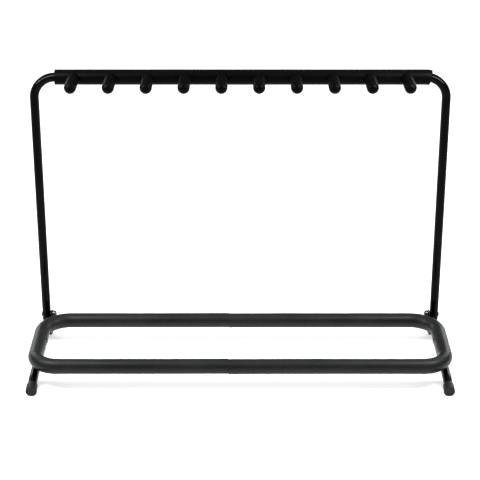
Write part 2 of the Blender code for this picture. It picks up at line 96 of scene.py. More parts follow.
class Nodes:
    """Short calls for building one material's nodes."""

    def __init__(self, name, colour, roughness, metallic=0.0):
        self.material = bpy.data.materials.new(name)
        self.material.use_nodes = True
        self.tree = self.material.node_tree
        self.shader = self.tree.nodes["Principled BSDF"]
        self.material.diffuse_color = (*colour, 1)
        self.shader.inputs["Metallic"].default_value = metallic
        self.shader.inputs["Roughness"].default_value = roughness
        self.place = self.tree.nodes.new("ShaderNodeTexCoord").outputs["Object"]
        self.relief = None

    def add(self, kind, **values):
        """A new node, with values for its settings and its inputs."""
        node = self.tree.nodes.new("ShaderNode" + kind)
        for key, value in values.items():
            if hasattr(node, key):
                setattr(node, key, value)
            else:
                node.inputs[key].default_value = value
        return node

    def link(self, output, socket):
        self.tree.links.new(output, socket)

    def scaled(self, vector, scale):
        node = self.add("Mapping")
        node.inputs["Scale"].default_value = scale
        self.link(vector, node.inputs["Vector"])
        return node.outputs["Vector"]

    def noise(self, scale, detail=2.0, roughness=0.5, vector=None):
        """Fractal noise from 0 to 1, with scale features to a metre."""
        node = self.add("TexNoise", Scale=scale, Detail=detail, Roughness=roughness)
        self.link(vector or self.place, node.inputs["Vector"])
        return node.outputs["Fac"]

    def cells(self, scale):
        """Distance to the nearest of scattered points."""
        node = self.add("TexVoronoi", Scale=scale)
        self.link(self.place, node.inputs["Vector"])
        return node.outputs["Distance"]

    def ramp(self, value, low, high, start, end):
        """Maps value from start..end to low..high, clamped."""
        node = self.add("MapRange", clamp=True)
        for key, number in zip(("From Min", "From Max", "To Min", "To Max"), (start, end, low, high)):
            node.inputs[key].default_value = number
        self.link(value, node.inputs["Value"])
        return node.outputs["Result"]

    def combined(self, operation, first, second):
        """Two values, each a number or another node's output, put together by a Math node."""
        node = self.add("Math", operation=operation)
        for socket, value in zip(node.inputs, (first, second)):
            if isinstance(value, (int, float)):
                socket.default_value = value
            else:
                self.link(value, socket)
        return node.outputs["Value"]

    def blend(self, factor, first, second):
        """A mix of two colours, each a tuple or another node's output."""
        node = self.add("Mix", data_type="RGBA")
        self.link(factor, node.inputs["Factor"])
        for socket, value in zip((node.inputs[6], node.inputs[7]), (first, second)):
            if isinstance(value, tuple):
                socket.default_value = (*value, 1)
            else:
                self.link(value, socket)
        return node.outputs[2]

    def colour(self, output):
        self.link(output, self.shader.inputs["Base Color"])

    def gloss(self, output):
        self.link(output, self.shader.inputs["Roughness"])

    def bump(self, height, distance, strength=1.0):
        """Adds relief that is distance metres high, over any relief so far."""
        node = self.add("Bump", Strength=strength, Distance=distance)
        self.link(height, node.inputs["Height"])
        if self.relief:
            self.link(self.relief, node.inputs["Normal"])
        self.relief = node.outputs["Normal"]
        self.link(self.relief, self.shader.inputs["Normal"])

    def fixed(self, **values):
        """Sets uniform values on the shader's own sockets."""
        for key, value in values.items():
            self.shader.inputs[key.replace("_", " ")].default_value = value


def toned(colour, factor):
    """A lighter or darker tone of a colour."""
    return tuple(factor * c for c in colour)


def powder_coat():
    """Gloss black paint: faint orange peel, a soft bloom of dust and fine rubbed spots."""
    n = Nodes("gloss_powder_coat", (0.006, 0.006, 0.0065), 0.16)
    dust = n.noise(14, 5, 0.6)
    rubs = n.noise(260, 4, 0.65)
    clean = n.blend(n.ramp(dust, 0, 1, 0.42, 0.72), (0.0004, 0.0004, 0.0005), (0.0014, 0.0014, 0.0016))
    n.colour(n.blend(n.ramp(rubs, 0, 0.4, 0.66, 0.78), clean, (0.012, 0.012, 0.0125)))
    n.gloss(n.combined("ADD", n.ramp(dust, 0.07, 0.12, 0.35, 0.70), n.ramp(rubs, 0, 0.10, 0.60, 0.78)))
    n.bump(n.noise(420, 3, 0.55), 0.00005)
    n.fixed(Specular_IOR_Level=0.045)
    return n.material


def foam(name, dark, light, sheen, specular):
    """Closed-cell foam with an extruded skin: fine cells with painted shade in their pits, drawn streaks, slow
    mottling and scuffs.
    """
    n = Nodes(name, light, 0.72)
    around = n.tree.nodes.new("ShaderNodeUVMap").outputs["UV"]
    streaks = n.noise(1.0, 4, 0.6, n.scaled(around, (14, 900, 1)))
    mottle = n.noise(11, 4, 0.6)
    grain = n.noise(900, 2, 0.6)
    pores_and_pore_shade = n.cells(1500)
    scuffs = n.noise(70, 6, 0.7)
    base = n.blend(n.ramp(mottle, 0, 1, 0.35, 0.68), dark, light)
    base = n.blend(n.ramp(streaks, 0, 0.35, 0.45, 0.75), base, toned(light, 1.25))
    base = n.blend(n.ramp(scuffs, 0, 0.55, 0.62, 0.80), base, toned(light, 1.6))
    # the pits at the cell centres are painted darker: painted shade in the pores
    n.colour(n.blend(n.ramp(pores_and_pore_shade, 0.45, 0, 0.0, 0.25), base, toned(dark, 0.4)))
    n.gloss(n.combined("ADD", n.ramp(mottle, 0.33, 0.41, 0.3, 0.7), n.ramp(grain, 0.0, 0.10, 0.3, 0.7)))
    n.bump(streaks, 0.00020, 0.5)
    n.bump(n.ramp(pores_and_pore_shade, 0, 1, 0.02, 0.35), 0.00010, 0.5)
    n.bump(grain, 0.00012, 0.6)
    n.fixed(Specular_IOR_Level=specular, Sheen_Weight=sheen, Sheen_Roughness=0.45)
    return n.material


def rubber():
    """Moulded rubber: satin, finely pitted, dusty towards the floor."""
    n = Nodes("moulded_rubber", (0.03, 0.03, 0.03), 0.55)
    height = n.add("SeparateXYZ")
    n.link(n.place, height.inputs["Vector"])
    low_down = n.ramp(height.outputs["Z"], 1, 0, 0.001, 0.012)
    grime = n.combined("MULTIPLY", low_down, n.ramp(n.noise(180, 5, 0.7), 0, 1, 0.40, 0.62))
    mottle = n.noise(120, 3, 0.6)
    base = n.blend(mottle, (0.004, 0.004, 0.004), (0.008, 0.008, 0.0078))
    n.colour(n.blend(grime, base, (0.024, 0.023, 0.021)))
    n.gloss(n.combined("ADD", n.ramp(mottle, 0.40, 0.56, 0.3, 0.7), n.combined("MULTIPLY", grime, 0.2)))
    n.bump(n.noise(1400, 3, 0.6), 0.00008, 0.8)
    n.bump(n.noise(150, 2, 0.5), 0.00015, 0.4)
    n.fixed(Specular_IOR_Level=0.15)
    return n.material


def black_steel():
    """Blackened steel hardware: turning marks, oil-dark patches and bright rubbed corners."""
    n = Nodes("blackened_steel", (0.08, 0.08, 0.085), 0.3, 1.0)
    patches = n.noise(240, 4, 0.6)
    marks = n.noise(1.0, 3, 0.6, n.scaled(n.place, (400, 2600, 2600)))
    base = n.blend(n.ramp(patches, 0, 1, 0.35, 0.7), (0.050, 0.050, 0.054), (0.105, 0.104, 0.105))
    n.colour(n.blend(n.ramp(marks, 0, 0.4, 0.6, 0.75), base, (0.24, 0.24, 0.24)))
    n.gloss(n.combined("ADD", n.ramp(patches, 0.20, 0.32, 0.3, 0.7), n.ramp(marks, 0, 0.12, 0.4, 0.7)))
    n.bump(marks, 0.00004, 0.6)
    return n.material


def nylon():
    """Moulded nylon: matt, with a fine spark-eroded texture."""
    n = Nodes("moulded_nylon", (0.015, 0.015, 0.015), 0.45)
    mottle = n.noise(150, 3, 0.5)
    n.colour(n.blend(mottle, (0.010, 0.010, 0.010), (0.020, 0.020, 0.021)))
    n.gloss(n.ramp(mottle, 0.38, 0.52, 0.3, 0.7))
    n.bump(n.cells(1100), 0.00006, 0.6)
    return n.material


def moulded_gloss():
    """Gloss moulded plastic: faint flow lines, fingerprints and fine scratches."""
    n = Nodes("gloss_moulding", (0.010, 0.010, 0.010), 0.12)
    prints = n.noise(210, 4, 0.6)
    n.colour(n.blend(prints, (0.006, 0.006, 0.006), (0.014, 0.014, 0.015)))
    n.gloss(n.ramp(prints, 0.09, 0.22, 0.35, 0.7))
    n.bump(n.noise(900, 2, 0.5), 0.00003, 0.5)
    n.fixed(Specular_IOR_Level=1.0)
    return n.material


COAT = powder_coat()
BASE_FOAM = foam("base_foam_skin", (0.0045, 0.0053, 0.0051), (0.0088, 0.0099, 0.0095), 0.02, 0.15)
# the top rail's and pegs' padding is the loop's foam made about ten times darker: partly a darker foam, partly
# painted shade
SHADED_TOP_FOAM = foam("top_foam_skin_shaded", (0.0004, 0.0005, 0.0005), (0.0009, 0.0010, 0.0010), 0.0, 0.028)
RUBBER = rubber()
STEEL = black_steel()
NYLON = nylon()
KNOB = moulded_gloss()


# Mesh helpers

SHARP_ANGLE = math.radians(40)
LIP_RINGS = 5  # stations that round off an edge
END_FACE_UV = 0.008  # the stretch of the UV map that an end face takes up
TINY = 1e-6  # points closer than this are the same


def piece(name, bm, material, body, slot, *nodes):
    """Ends a bmesh as a smooth-shaded piece that rides on a body and stands for its CAD nodes."""
    mesh = bpy.data.meshes.new(name)
    bmesh.ops.recalc_face_normals(bm, faces=bm.faces)
    bm.to_mesh(mesh)
    bm.free()
    mesh.shade_smooth()
    mesh.set_sharp_from_angle(angle=SHARP_ANGLE)
    mesh.materials.append(material)
    obj = bpy.data.objects.new(name, mesh)
    bpy.context.scene.collection.objects.link(obj)
    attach(obj, body)
    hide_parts(*nodes)
    return obj


def place_at(origin, z_axis, x_axis):
    """The matrix that puts a shape's Z along z_axis and its X near x_axis."""
    z = Vector(z_axis).normalized()
    y = z.cross(Vector(x_axis)).normalized()
    return Matrix.Translation(origin) @ Matrix((y.cross(z), y, z)).transposed().to_4x4()


def route(start, heading, normal, moves, spacing):
    """Stations (point, heading, distance, bend) along straights (length,) and arcs (radius, angle)."""
    point, heading, normal = Vector(start), Vector(heading).normalized(), Vector(normal)
    travelled = 0.0
    stations = [(point.copy(), heading.copy(), 0.0, 0.0)]
    for move in moves:
        length = move[0] if len(move) == 1 else move[0] * abs(move[1])
        count = max(2, round(length / spacing))
        if len(move) == 1:
            for i in range(1, count + 1):
                spot = point + heading * length * i / count
                stations.append((spot, heading.copy(), travelled + length * i / count, 0.0))
            point = point + heading * length
        else:
            radius, angle = move
            centre = point + normal.cross(heading) * math.copysign(radius, angle)
            for i in range(1, count + 1):
                turn = Matrix.Rotation(angle * i / count, 3, normal)
                spot = centre + turn @ (point - centre)
                bend = math.sin(math.pi * i / count) ** 0.5 * math.copysign(1, angle)
                stations.append((spot, turn @ heading, travelled + length * i / count, bend))
            turn = Matrix.Rotation(angle, 3, normal)
            point, heading = centre + turn @ (point - centre), turn @ heading
        travelled += length
    return stations


def with_lips(stations, lip):
    """Adds close stations at both ends, so that the edges there can be rounded."""
    total = stations[-1][2]
    extra = []
    for i in range(1, LIP_RINGS):
        depth = lip * (1 - math.cos(math.pi / 2 * i / (LIP_RINGS - 1)))
        (p, t, _, _), (q, u, _, _) = stations[0], stations[-1]
        extra.append((p + t * depth, t, depth, 0.0))
        extra.append((q - u * depth, u, total - depth, 0.0))
    margin = lip * 1.2
    inner = [s for s in stations if margin < s[2] < total - margin]
    return sorted([stations[0], stations[-1]] + extra + inner, key=lambda s: s[2])


def lip_drop(distance, total, lip):
    """How much smaller the radius is near an end whose edge is rounded by lip."""
    depth = min(distance, total - distance)
    if depth >= lip:
        return 0.0
    return lip - math.sqrt(max(0.0, lip**2 - (lip - depth) ** 2))


def swept(stations, normal, outer, bore, sides):
    """A closed hollow sweep. outer(distance, angle, bend, total) gives the outer radius and a shift.

    Angle 0 is towards normal. The UV map is in metres, along the sweep and round it.
    """
    bm = bmesh.new()
    uv = bm.loops.layers.uv.new("UVMap")
    normal = Vector(normal)
    total = stations[-1][2]
    rings, inside, along = [], [], []
    for point, heading, distance, bend in stations:
        across = normal.cross(heading)
        ring, hole = [], []
        for k in range(sides):
            angle = math.tau * k / sides
            ray = normal * math.cos(angle) + across * math.sin(angle)
            radius, shift = outer(distance, angle, bend, total)
            ring.append(bm.verts.new(point + ray * radius + shift))
            hole.append(bm.verts.new(point + ray * bore))
        rings.append(ring)
        inside.append(hole)
        along.append(distance)
    girth = math.tau * FOAM_RADIUS / sides

    def quad(a, b, c, d, us, vs):
        face = bm.faces.new((a, b, c, d))
        for loop, u, v in zip(face.loops, us, vs):
            loop[uv].uv = (u, v)

    for skin in (rings, inside):
        for i in range(len(skin) - 1):
            for k in range(sides):
                j = (k + 1) % sides
                us = (along[i], along[i + 1], along[i + 1], along[i])
                vs = (girth * k, girth * k, girth * (k + 1), girth * (k + 1))
                quad(skin[i][k], skin[i + 1][k], skin[i + 1][j], skin[i][j], us, vs)
    for i in (0, -1):
        for k in range(sides):
            j = (k + 1) % sides
            us = (along[i], along[i], along[i] + END_FACE_UV, along[i] + END_FACE_UV)
            vs = (girth * k, girth * (k + 1), girth * (k + 1), girth * k)
            quad(rings[i][k], rings[i][j], inside[i][j], inside[i][k], us, vs)
    return bm


def lathe(profile, sides):
    """Turns (radius, height) points about Z. The skin is closed where they lie on the axis."""
    bm = bmesh.new()
    uv = bm.loops.layers.uv.new("UVMap")
    columns = []
    turns = [math.tau * k / sides for k in range(sides)]
    for radius, height in profile:
        if radius < TINY:
            columns.append([bm.verts.new((0, 0, height))])
        else:
            spots = [(radius * math.cos(a), radius * math.sin(a), height) for a in turns]
            columns.append([bm.verts.new(spot) for spot in spots])
    for low, high in zip(columns, columns[1:]):
        for k in range(sides):
            j = (k + 1) % sides
            ring = [low[k % len(low)], low[j % len(low)], high[j % len(high)], high[k % len(high)]]
            corners = list(dict.fromkeys(ring))
            if len(corners) < 3:
                continue
            face = bm.faces.new(corners)
            for loop in face.loops:
                spot = loop.vert.co
                loop[uv].uv = (spot.z, math.atan2(spot.y, spot.x) * PEG_RADIUS)
    return bm


def rounded(points, radius, steps=4):
    """A profile with each inner corner replaced by an arc-like fillet."""
    result = [points[0]]
    for before, corner, after in zip(points, points[1:], points[2:]):
        a, b, c = Vector(before), Vector(corner), Vector(after)
        reach = min(radius, (a - b).length * 0.45, (c - b).length * 0.45)
        start, end = b + (a - b).normalized() * reach, b + (c - b).normalized() * reach
        for i in range(steps + 1):
            t = i / steps
            result.append(tuple(start * (1 - t) ** 2 + b * 2 * t * (1 - t) + end * t**2))
    result.append(points[-1])
    return result


def moved(bm, matrix):
    """The same bmesh, placed by a matrix."""
    bmesh.ops.transform(bm, matrix=matrix, verts=bm.verts)
    return bm


def joined(*parts):
    """One bmesh of several closed solids."""
    whole = bmesh.new()
    for part in parts:
        mesh = bpy.data.meshes.new("part")
        part.to_mesh(mesh)
        part.free()
        whole.from_mesh(mesh)
        bpy.data.meshes.remove(mesh)
    return whole


def wave(spot, scale, seed):
    """Smooth noise between about -1 and 1."""
    return noise.noise(Vector(spot) * scale + Vector((seed, seed * 1.7, seed * 0.3)))


# Tubes

TUBE_SIDES = 48
TUBE_SPACING = 0.004
TUBE_LIP = 0.0004
BEND_FLATTENING = 0.012  # how much of its radius a tube bulges by in the middle of a bend
SPIGOT_START = SEAM_X - 0.005
SPIGOT_SHOULDER = 0.004
SPIGOT_TAPER = 0.0005
SPIGOT_SPACING = 0.01


def tube_profile(distance, angle, bend, total):
    """A drawn tube flattens a little in its bends."""
    flat = BEND_FLATTENING * abs(bend) * math.cos(angle) ** 2
    return TUBE_RADIUS * (1 + flat) - lip_drop(distance, total, TUBE_LIP), Vector()


def tube(start, heading, normal, moves):
    """A bent steel tube with rounded cut edges."""
    stations = with_lips(route(start, heading, normal, moves, TUBE_SPACING), TUBE_LIP)
    return swept(stations, normal, tube_profile, TUBE_RADIUS - TUBE_WALL, TUBE_SIDES)


def spigot(end_x):
    """The reduced end of the left-hand tube, inside the right-hand one, on a shoulder in its own wall."""
    length = end_x - SPIGOT_START - SPIGOT_SHOULDER - SPIGOT_TAPER

    def outer(distance, angle, bend, total):
        shoulder = TUBE_RADIUS - 0.5 * TUBE_WALL
        return (shoulder if distance < SPIGOT_SHOULDER else SPIGOT_RADIUS), Vector()

    moves = [(SPIGOT_SHOULDER,), (SPIGOT_TAPER,), (length,)]
    stations = route((SPIGOT_START, UPRIGHT_Y, TOP_Z), X, Y, moves, SPIGOT_SPACING)
    return swept(stations, Y, outer, SPIGOT_RADIUS - TUBE_WALL, TUBE_SIDES)


def uprights():
    """The bent tubes, each with its half of the top rail."""
    for label, side in SIDES.items():
        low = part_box(f"upright_tube_{label}")[0].z
        run = abs(side * SIDE_X - SEAM_X) - TOP_BEND - CLEARANCE
        moves = [(TOP_Z - TOP_BEND - low,), (TOP_BEND, -side * math.pi / 2), (run,)]
        bm = tube((side * SIDE_X, UPRIGHT_Y, low), Z, Y, moves)
        if side < 0:
            bm = joined(bm, spigot(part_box("upright_tube_left")[1].x))
        piece(f"upright_{label}", bm, COAT, "upright_frame", "black_powder_coat", f"upright_tube_{label}")


def rails():
    """The side rails, level under the loop and bent down to the front feet."""
    for label, side in SIDES.items():
        low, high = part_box(f"side_rail_{label}")
        bend_y = FRONT_Y + RAIL_BEND * math.tan(RAIL_DROP / 2)
        drop_end = RAIL_BEND * (1 - math.cos(RAIL_DROP))
        # the end's lowest corner touches the box, so the slope's length follows from it
        slope = (RAIL_Z - drop_end - TUBE_RADIUS * math.cos(RAIL_DROP) - low.z) / math.sin(RAIL_DROP)
        moves = [(high.y - bend_y,), (RAIL_BEND, RAIL_DROP), (slope,)]
        bm = tube((side * SIDE_X, high.y, RAIL_Z), -Y, X, moves)
        piece(f"rail_{label}", bm, COAT, "base_frame", "black_powder_coat", f"side_rail_{label}")


# Foam

FOAM_SIDES = 64
FOAM_SPACING = 0.003
LOOP_LIP = 0.0011
TOP_LIP = 0.0010
SQUEEZE = 0.0006  # how much thinner the loop's padding is on the inside of a bend
FOLD_HEIGHT = 0.00022
FOLD_LENGTH = 0.0075
FOLD_DRIFT = 1.5  # unevenness of the folds, in radians
FOLD_SCALE = 30
CREASE_PLACE = 0.42  # share of the side's straight, from the rear
CREASE_DEPTH = 0.0014
CREASE_WIDTH = 0.0028
BULGE_HEIGHT = 0.0016
BULGE_FADE = 0.045  # towards the rear corner
BULGE_EDGE = 0.0015  # towards the crease
SEAM_STEP = 0.0005
SEAM_FADE = 0.10
NOISE_RADIUS = 0.03  # the noise is taken on a cylinder of this radius


def unevenness(distance, angle, *waves):
    """Waviness of an extruded sleeve, as the sum of noises given by (height, scale, seed)."""
    spot = (distance, NOISE_RADIUS * math.cos(angle), NOISE_RADIUS * math.sin(angle))
    return sum(height * wave(spot, scale, seed) for height, scale, seed in waves)


def sleeve(start, heading, normal, moves, lip, outer):
    """A foam sleeve round a tube's route."""
    stations = with_lips(route(start, heading, normal, moves, FOAM_SPACING), lip)
    return swept(stations, normal, outer, TUBE_RADIUS + CLEARANCE, FOAM_SIDES)


def loop_foam(label, side):
    """One half of the loop's padding, from the seam in the rear bar to the seam in the front bar."""
    seam = SEAM_X + side * TOUCHING
    half_width = abs(side * SIDE_X - seam)
    depth = REAR_Y - FRONT_Y - REAR_BEND - FRONT_BEND
    quarter = -side * math.pi / 2
    rear, front = half_width - REAR_BEND, half_width - FRONT_BEND
    moves = [(rear,), (REAR_BEND, quarter), (depth,), (FRONT_BEND, quarter), (front,)]
    crease_at = rear + REAR_BEND * math.pi / 2 + depth * CREASE_PLACE

    def outer(distance, angle, bend, total):
        facing = max(0.0, math.cos(angle - quarter))  # 1 towards the loop's middle
        radius = FOAM_RADIUS
        # squeezed on the inside of a bend, in soft folds
        pinched = abs(bend) * facing**2
        drift = FOLD_DRIFT * wave((distance, 0, 0), FOLD_SCALE, side)
        folds = math.sin(distance * math.tau / FOLD_LENGTH + drift)
        radius += pinched * (FOLD_HEIGHT * folds - SQUEEZE)
        # bunched up behind the rear corner, up to a crease in the side
        behind = crease_at - distance
        if behind > 0:
            bulge = math.exp(-behind / BULGE_FADE) * (1 - math.exp(-behind / BULGE_EDGE))
            radius += BULGE_HEIGHT * facing**1.5 * bulge
        radius -= CREASE_DEPTH * facing**3 * math.exp(-(behind / CREASE_WIDTH) ** 2)
        radius += unevenness(distance, angle, (0.00022, 9, 3 + side), (0.00012, 42, 11 + side))
        radius -= lip_drop(distance, total, LOOP_LIP)
        # the two halves meet slightly out of line
        near_seam = math.exp(-min(distance, total - distance) / SEAM_FADE)
        return radius, Z * (-side * SEAM_STEP * near_seam)

    bm = sleeve((seam, REAR_Y, LOOP_Z), (side, 0, 0), Z, moves, LOOP_LIP, outer)
    obj = piece(f"loop_padding_{label}", bm, BASE_FOAM, "base_frame", "foam_padding", f"base_foam_{label}")


def rail_foam(label, side):
    """One half of the top rail's padding, from the seam to the bend or a little way into it."""
    seam = SEAM_X + side * TOUCHING
    moves = [(abs(side * SIDE_X - seam) - TOP_BEND,)]
    if side > 0:
        moves.append((TOP_BEND, SLEEVE_OVERRUN))

    def outer(distance, angle, bend, total):
        radius = FOAM_RADIUS - lip_drop(distance, total, TOP_LIP)
        radius += unevenness(distance, angle, (0.00020, 9, 21 + side), (0.00010, 45, 31 + side))
        return radius, Vector()

    bm = sleeve((seam, UPRIGHT_Y, TOP_Z), (side, 0, 0), Y, moves, TOP_LIP, outer)
    obj = piece(f"top_padding_{label}", bm, SHADED_TOP_FOAM, "upright_frame", "foam_padding", f"top_foam_{label}")


# Pegs

PEG_SIDES = 48
PEG_BORE = 0.0053
PEG_LIP = 0.0012
PEG_RELIEF = 0.00018
PEG_RELIEF_SCALE = 40
PEG_RELIEF_SEED = 5
DOME_HEIGHT = PEG_RADIUS * 0.985
DOME_STEPS = 12
SHANK_STEPS = 22
ROOT_HEIGHT = 0.004  # the turned part ends this far above the top rail's padding
BORE_MIDDLE = 0.030


def peg_outline(reach, root):
    """(radius, height) from the tip of the round end down the straight shank."""
    outline = [(0.0, reach + DOME_HEIGHT)]
    for i in range(1, DOME_STEPS + 1):
        angle = math.pi / 2 * i / DOME_STEPS
        outline.append((PEG_RADIUS * math.sin(angle), reach + DOME_HEIGHT * math.cos(angle)))
    shank = reach - root - ROOT_HEIGHT
    outline += [(PEG_RADIUS, reach - shank * i / SHANK_STEPS) for i in range(1, SHANK_STEPS + 1)]
    return outline


def peg(number):
    """A padded peg: a closed foam sleeve with a round end, its root shaped to the top rail's padding."""
    rod_mid = mid(f"peg_rod_{number}")
    origin = Vector((rod_mid.x, UPRIGHT_Y, TOP_Z))
    direction = (rod_mid - origin).normalized()
    tip_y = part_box(f"peg_foam_{number}")[0].y
    reach = (UPRIGHT_Y - tip_y - PEG_RADIUS) / -direction.y
    root = FOAM_RADIUS + CLEARANCE
    outline = peg_outline(reach, root)
    bm = lathe(outline, PEG_SIDES)
    # relief of the sleeve's skin, kept small so that the peg stays round
    for vert in bm.verts:
        spot = vert.co
        ray = Vector((spot.x, spot.y, 0))
        if ray.length > TINY:
            relief = wave(spot + Vector((number, 0, 0)), PEG_RELIEF_SCALE, PEG_RELIEF_SEED)
            vert.co += ray.normalized() * (PEG_RELIEF * relief)
    foot = outline[-1][1]
    rim = [v for v in bm.verts if abs(v.co.z - foot) < TINY]
    rim.sort(key=lambda v: math.atan2(v.co.y, v.co.x))
    uv = bm.loops.layers.uv.active

    def saddle(radius, angle, lift):
        across = radius * math.sin(angle)
        return Vector((radius * math.cos(angle), across, math.sqrt(root**2 - across**2) + lift))

    angles = [math.atan2(v.co.y, v.co.x) for v in rim]
    rows = [rim]
    halfway = 0.3 * PEG_LIP
    lip = [(PEG_RADIUS, PEG_LIP), (PEG_RADIUS - halfway, halfway), (PEG_RADIUS - PEG_LIP, 0.0)]
    for radius, lift in lip + [(PEG_BORE, 0.0)]:
        rows.append([bm.verts.new(saddle(radius, a, lift)) for a in angles])
    for depth in (BORE_MIDDLE, reach):
        rows.append([bm.verts.new((PEG_BORE * math.cos(a), PEG_BORE * math.sin(a), depth)) for a in angles])
    for upper, lower in zip(rows, rows[1:]):
        for k in range(PEG_SIDES):
            j = (k + 1) % PEG_SIDES
            face = bm.faces.new((upper[k], upper[j], lower[j], lower[k]))
            for loop in face.loops:
                spot = loop.vert.co
                loop[uv].uv = (spot.z, math.atan2(spot.y, spot.x) * PEG_RADIUS)
    bm.faces.new(rows[-1])
    moved(bm, place_at(origin, direction, X))
    obj = piece(f"peg_padding_{number}", bm, SHADED_TOP_FOAM, "upright_frame", "foam_padding", f"peg_foam_{number}")


# Feet

CAP_SIDES = 64
CAP_FLOOR = 0.0035
CAP_HOLLOW = 0.0006  # depth of the recess in the sole
CAP_HOLLOW_RADIUS = CAP_RADIUS * 0.62
CAP_SOLE_INNER = CAP_RADIUS * 0.68
CAP_SOLE_OUTER = CAP_RADIUS - 0.0004
CAP_WIDEST = 0.0022  # height of the widest place
CAP_WAIST = 0.6  # share of the height at which the wall has narrowed by half its draft
CAP_DRAFT = 0.0006
CAP_FILLET = 0.0009


def cup(length):
    """A rubber cap, open at the top, with a recessed sole and a wall that narrows upwards."""
    bore = TUBE_RADIUS + CLEARANCE
    outline = [
        (0, CAP_HOLLOW), (CAP_HOLLOW_RADIUS, CAP_HOLLOW), (CAP_SOLE_INNER, 0), (CAP_SOLE_OUTER, 0),
        (CAP_RADIUS, CAP_WIDEST), (CAP_RADIUS - CAP_DRAFT / 2, length * CAP_WAIST),
        (CAP_RADIUS - CAP_DRAFT, length), (bore, length), (bore, CAP_FLOOR), (0, CAP_FLOOR),
    ]
    return lathe(rounded(outline, CAP_FILLET), CAP_SIDES)


def feet():
    """Rubber caps on the uprights and on the sloping front ends of the rails."""
    for label, side in SIDES.items():
        low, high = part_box(f"rear_foot_cap_{label}")
        bm = moved(cup(high.z - low.z), Matrix.Translation((side * SIDE_X, UPRIGHT_Y, low.z)))
        piece(f"rear_foot_{label}", bm, RUBBER, "upright_frame", "rubber_cap", f"rear_foot_cap_{label}")
        low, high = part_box(f"front_foot_cap_{label}")
        direction = Vector((0, -math.cos(RAIL_DROP), -math.sin(RAIL_DROP)))
        base_y = low.y + CAP_RADIUS * math.sin(RAIL_DROP)
        base_z = high.z - CAP_RADIUS * math.cos(RAIL_DROP) - FRONT_CAP_LENGTH * math.sin(RAIL_DROP)
        base = Vector((side * SIDE_X, base_y, base_z))
        bm = moved(cup(FRONT_CAP_LENGTH), place_at(base, -direction, X))
        # the floor flattens the cap's lower edge
        for vert in bm.verts:
            vert.co.z = max(vert.co.z, 0.0)
        piece(f"front_foot_{label}", bm, RUBBER, "base_frame", "rubber_cap", f"front_foot_cap_{label}")


# Pivots and hinge plates

BOLT_RADIUS = 0.0040
BOLT_CHAMFER = 0.0005
BOLT_FILLET = 0.0004
BOLT_HEAD_RADIUS = 0.0070
BOLT_HEAD_EDGE = 0.0004  # height of the head's bevels
BOLT_FACE = BOLT_HEAD_RADIUS / 2  # the flat middle of the head
BOLT_SHOULDER = BOLT_HEAD_RADIUS - 0.0015
PIVOT_SIDES = 48
KNOB_SIDES = 64
WASHER_EDGE = 0.0002
PIVOT_BORE = 0.0043  # hole in the washer and the knob
KNOB_EDGE = 0.0006
KNOB_RIM = 0.0040  # height of the knob's straight side
KNOB_STEPS = 16
PLATE_EYE = 0.0110  # the plate's radius round the pivot
PLATE_TAIL = 0.0080  # and round the rivets
PLATE_EDGE = 0.0004


def plain_ring(radius, low, high):
    """A ring about Z with the pivot's bore and broken outer edges."""
    flat = radius - WASHER_EDGE
    outline = [
        (PIVOT_BORE, low), (flat, low), (radius, low + WASHER_EDGE), (radius, high - WASHER_EDGE),
        (flat, high), (PIVOT_BORE, high), (PIVOT_BORE, low),
    ]
    bm = lathe(outline, PIVOT_SIDES)
    bmesh.ops.remove_doubles(bm, verts=bm.verts, dist=TINY)
    return bm


def bolt(head, tip):
    """A low-headed bolt along Z, its head against the outside of the upright."""
    seat = -TUBE_RADIUS - CLEARANCE
    outline = [
        (0, head), (BOLT_FACE, head), (BOLT_SHOULDER, head + BOLT_HEAD_EDGE),
        (BOLT_HEAD_RADIUS - BOLT_HEAD_EDGE / 2, seat - BOLT_HEAD_EDGE), (BOLT_HEAD_RADIUS, seat),
        (BOLT_RADIUS, seat), (BOLT_RADIUS, tip - BOLT_CHAMFER), (BOLT_RADIUS - BOLT_CHAMFER, tip), (0, tip),
    ]
    return lathe(rounded(outline, BOLT_FILLET), PIVOT_SIDES)


def knob(radius, bottom, seat, end):
    """A domed knob along Z, with a blind hole that ends at bottom."""
    rim = seat + KNOB_RIM
    outline = [(0, bottom), (PIVOT_BORE, bottom), (PIVOT_BORE, seat)]
    outline += [(radius - KNOB_EDGE, seat), (radius, seat + KNOB_EDGE)]
    for i in range(KNOB_STEPS):
        angle = math.pi / 2 * i / KNOB_STEPS
        outline.append((radius * math.cos(angle), rim + (end - rim) * math.sin(angle)))
    outline.append((0, end))
    return lathe(outline, KNOB_SIDES)


def pivots():
    """The bolt, the washer and the knob of each pivot."""
    for label, side in SIDES.items():
        bolt_low, bolt_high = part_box(f"pivot_bolt_{label}")
        knob_low, knob_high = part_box(f"pivot_knob_{label}")
        washer_low, washer_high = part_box(f"pivot_washer_{label}")

        def depth(*xs):
            """Distances inwards from the side's plane, in rising order."""
            return sorted(SIDE_X - side * x for x in xs)

        head, tip = depth(bolt_low.x, bolt_high.x)
        seat, end = depth(knob_low.x, knob_high.x)
        inwards = place_at((side * SIDE_X, PIVOT.y, PIVOT.z), (-side, 0, 0), Z)
        bm = moved(bolt(head, tip), inwards)
        node = f"pivot_bolt_{label}"
        piece(f"pivot_bolt_piece_{label}", bm, STEEL, "base_frame", "black_steel_fastener", node)
        radius = (washer_high.z - washer_low.z) / 2
        bm = moved(plain_ring(radius, *depth(washer_low.x, washer_high.x)), inwards)
        piece(f"washer_{label}", bm, NYLON, "base_frame", "nylon", f"pivot_washer_{label}")
        bm = moved(knob((knob_high.z - knob_low.z) / 2, tip + CLEARANCE, seat, end), inwards)
        piece(f"knob_{label}", bm, KNOB, "base_frame", "nylon", f"pivot_knob_{label}")


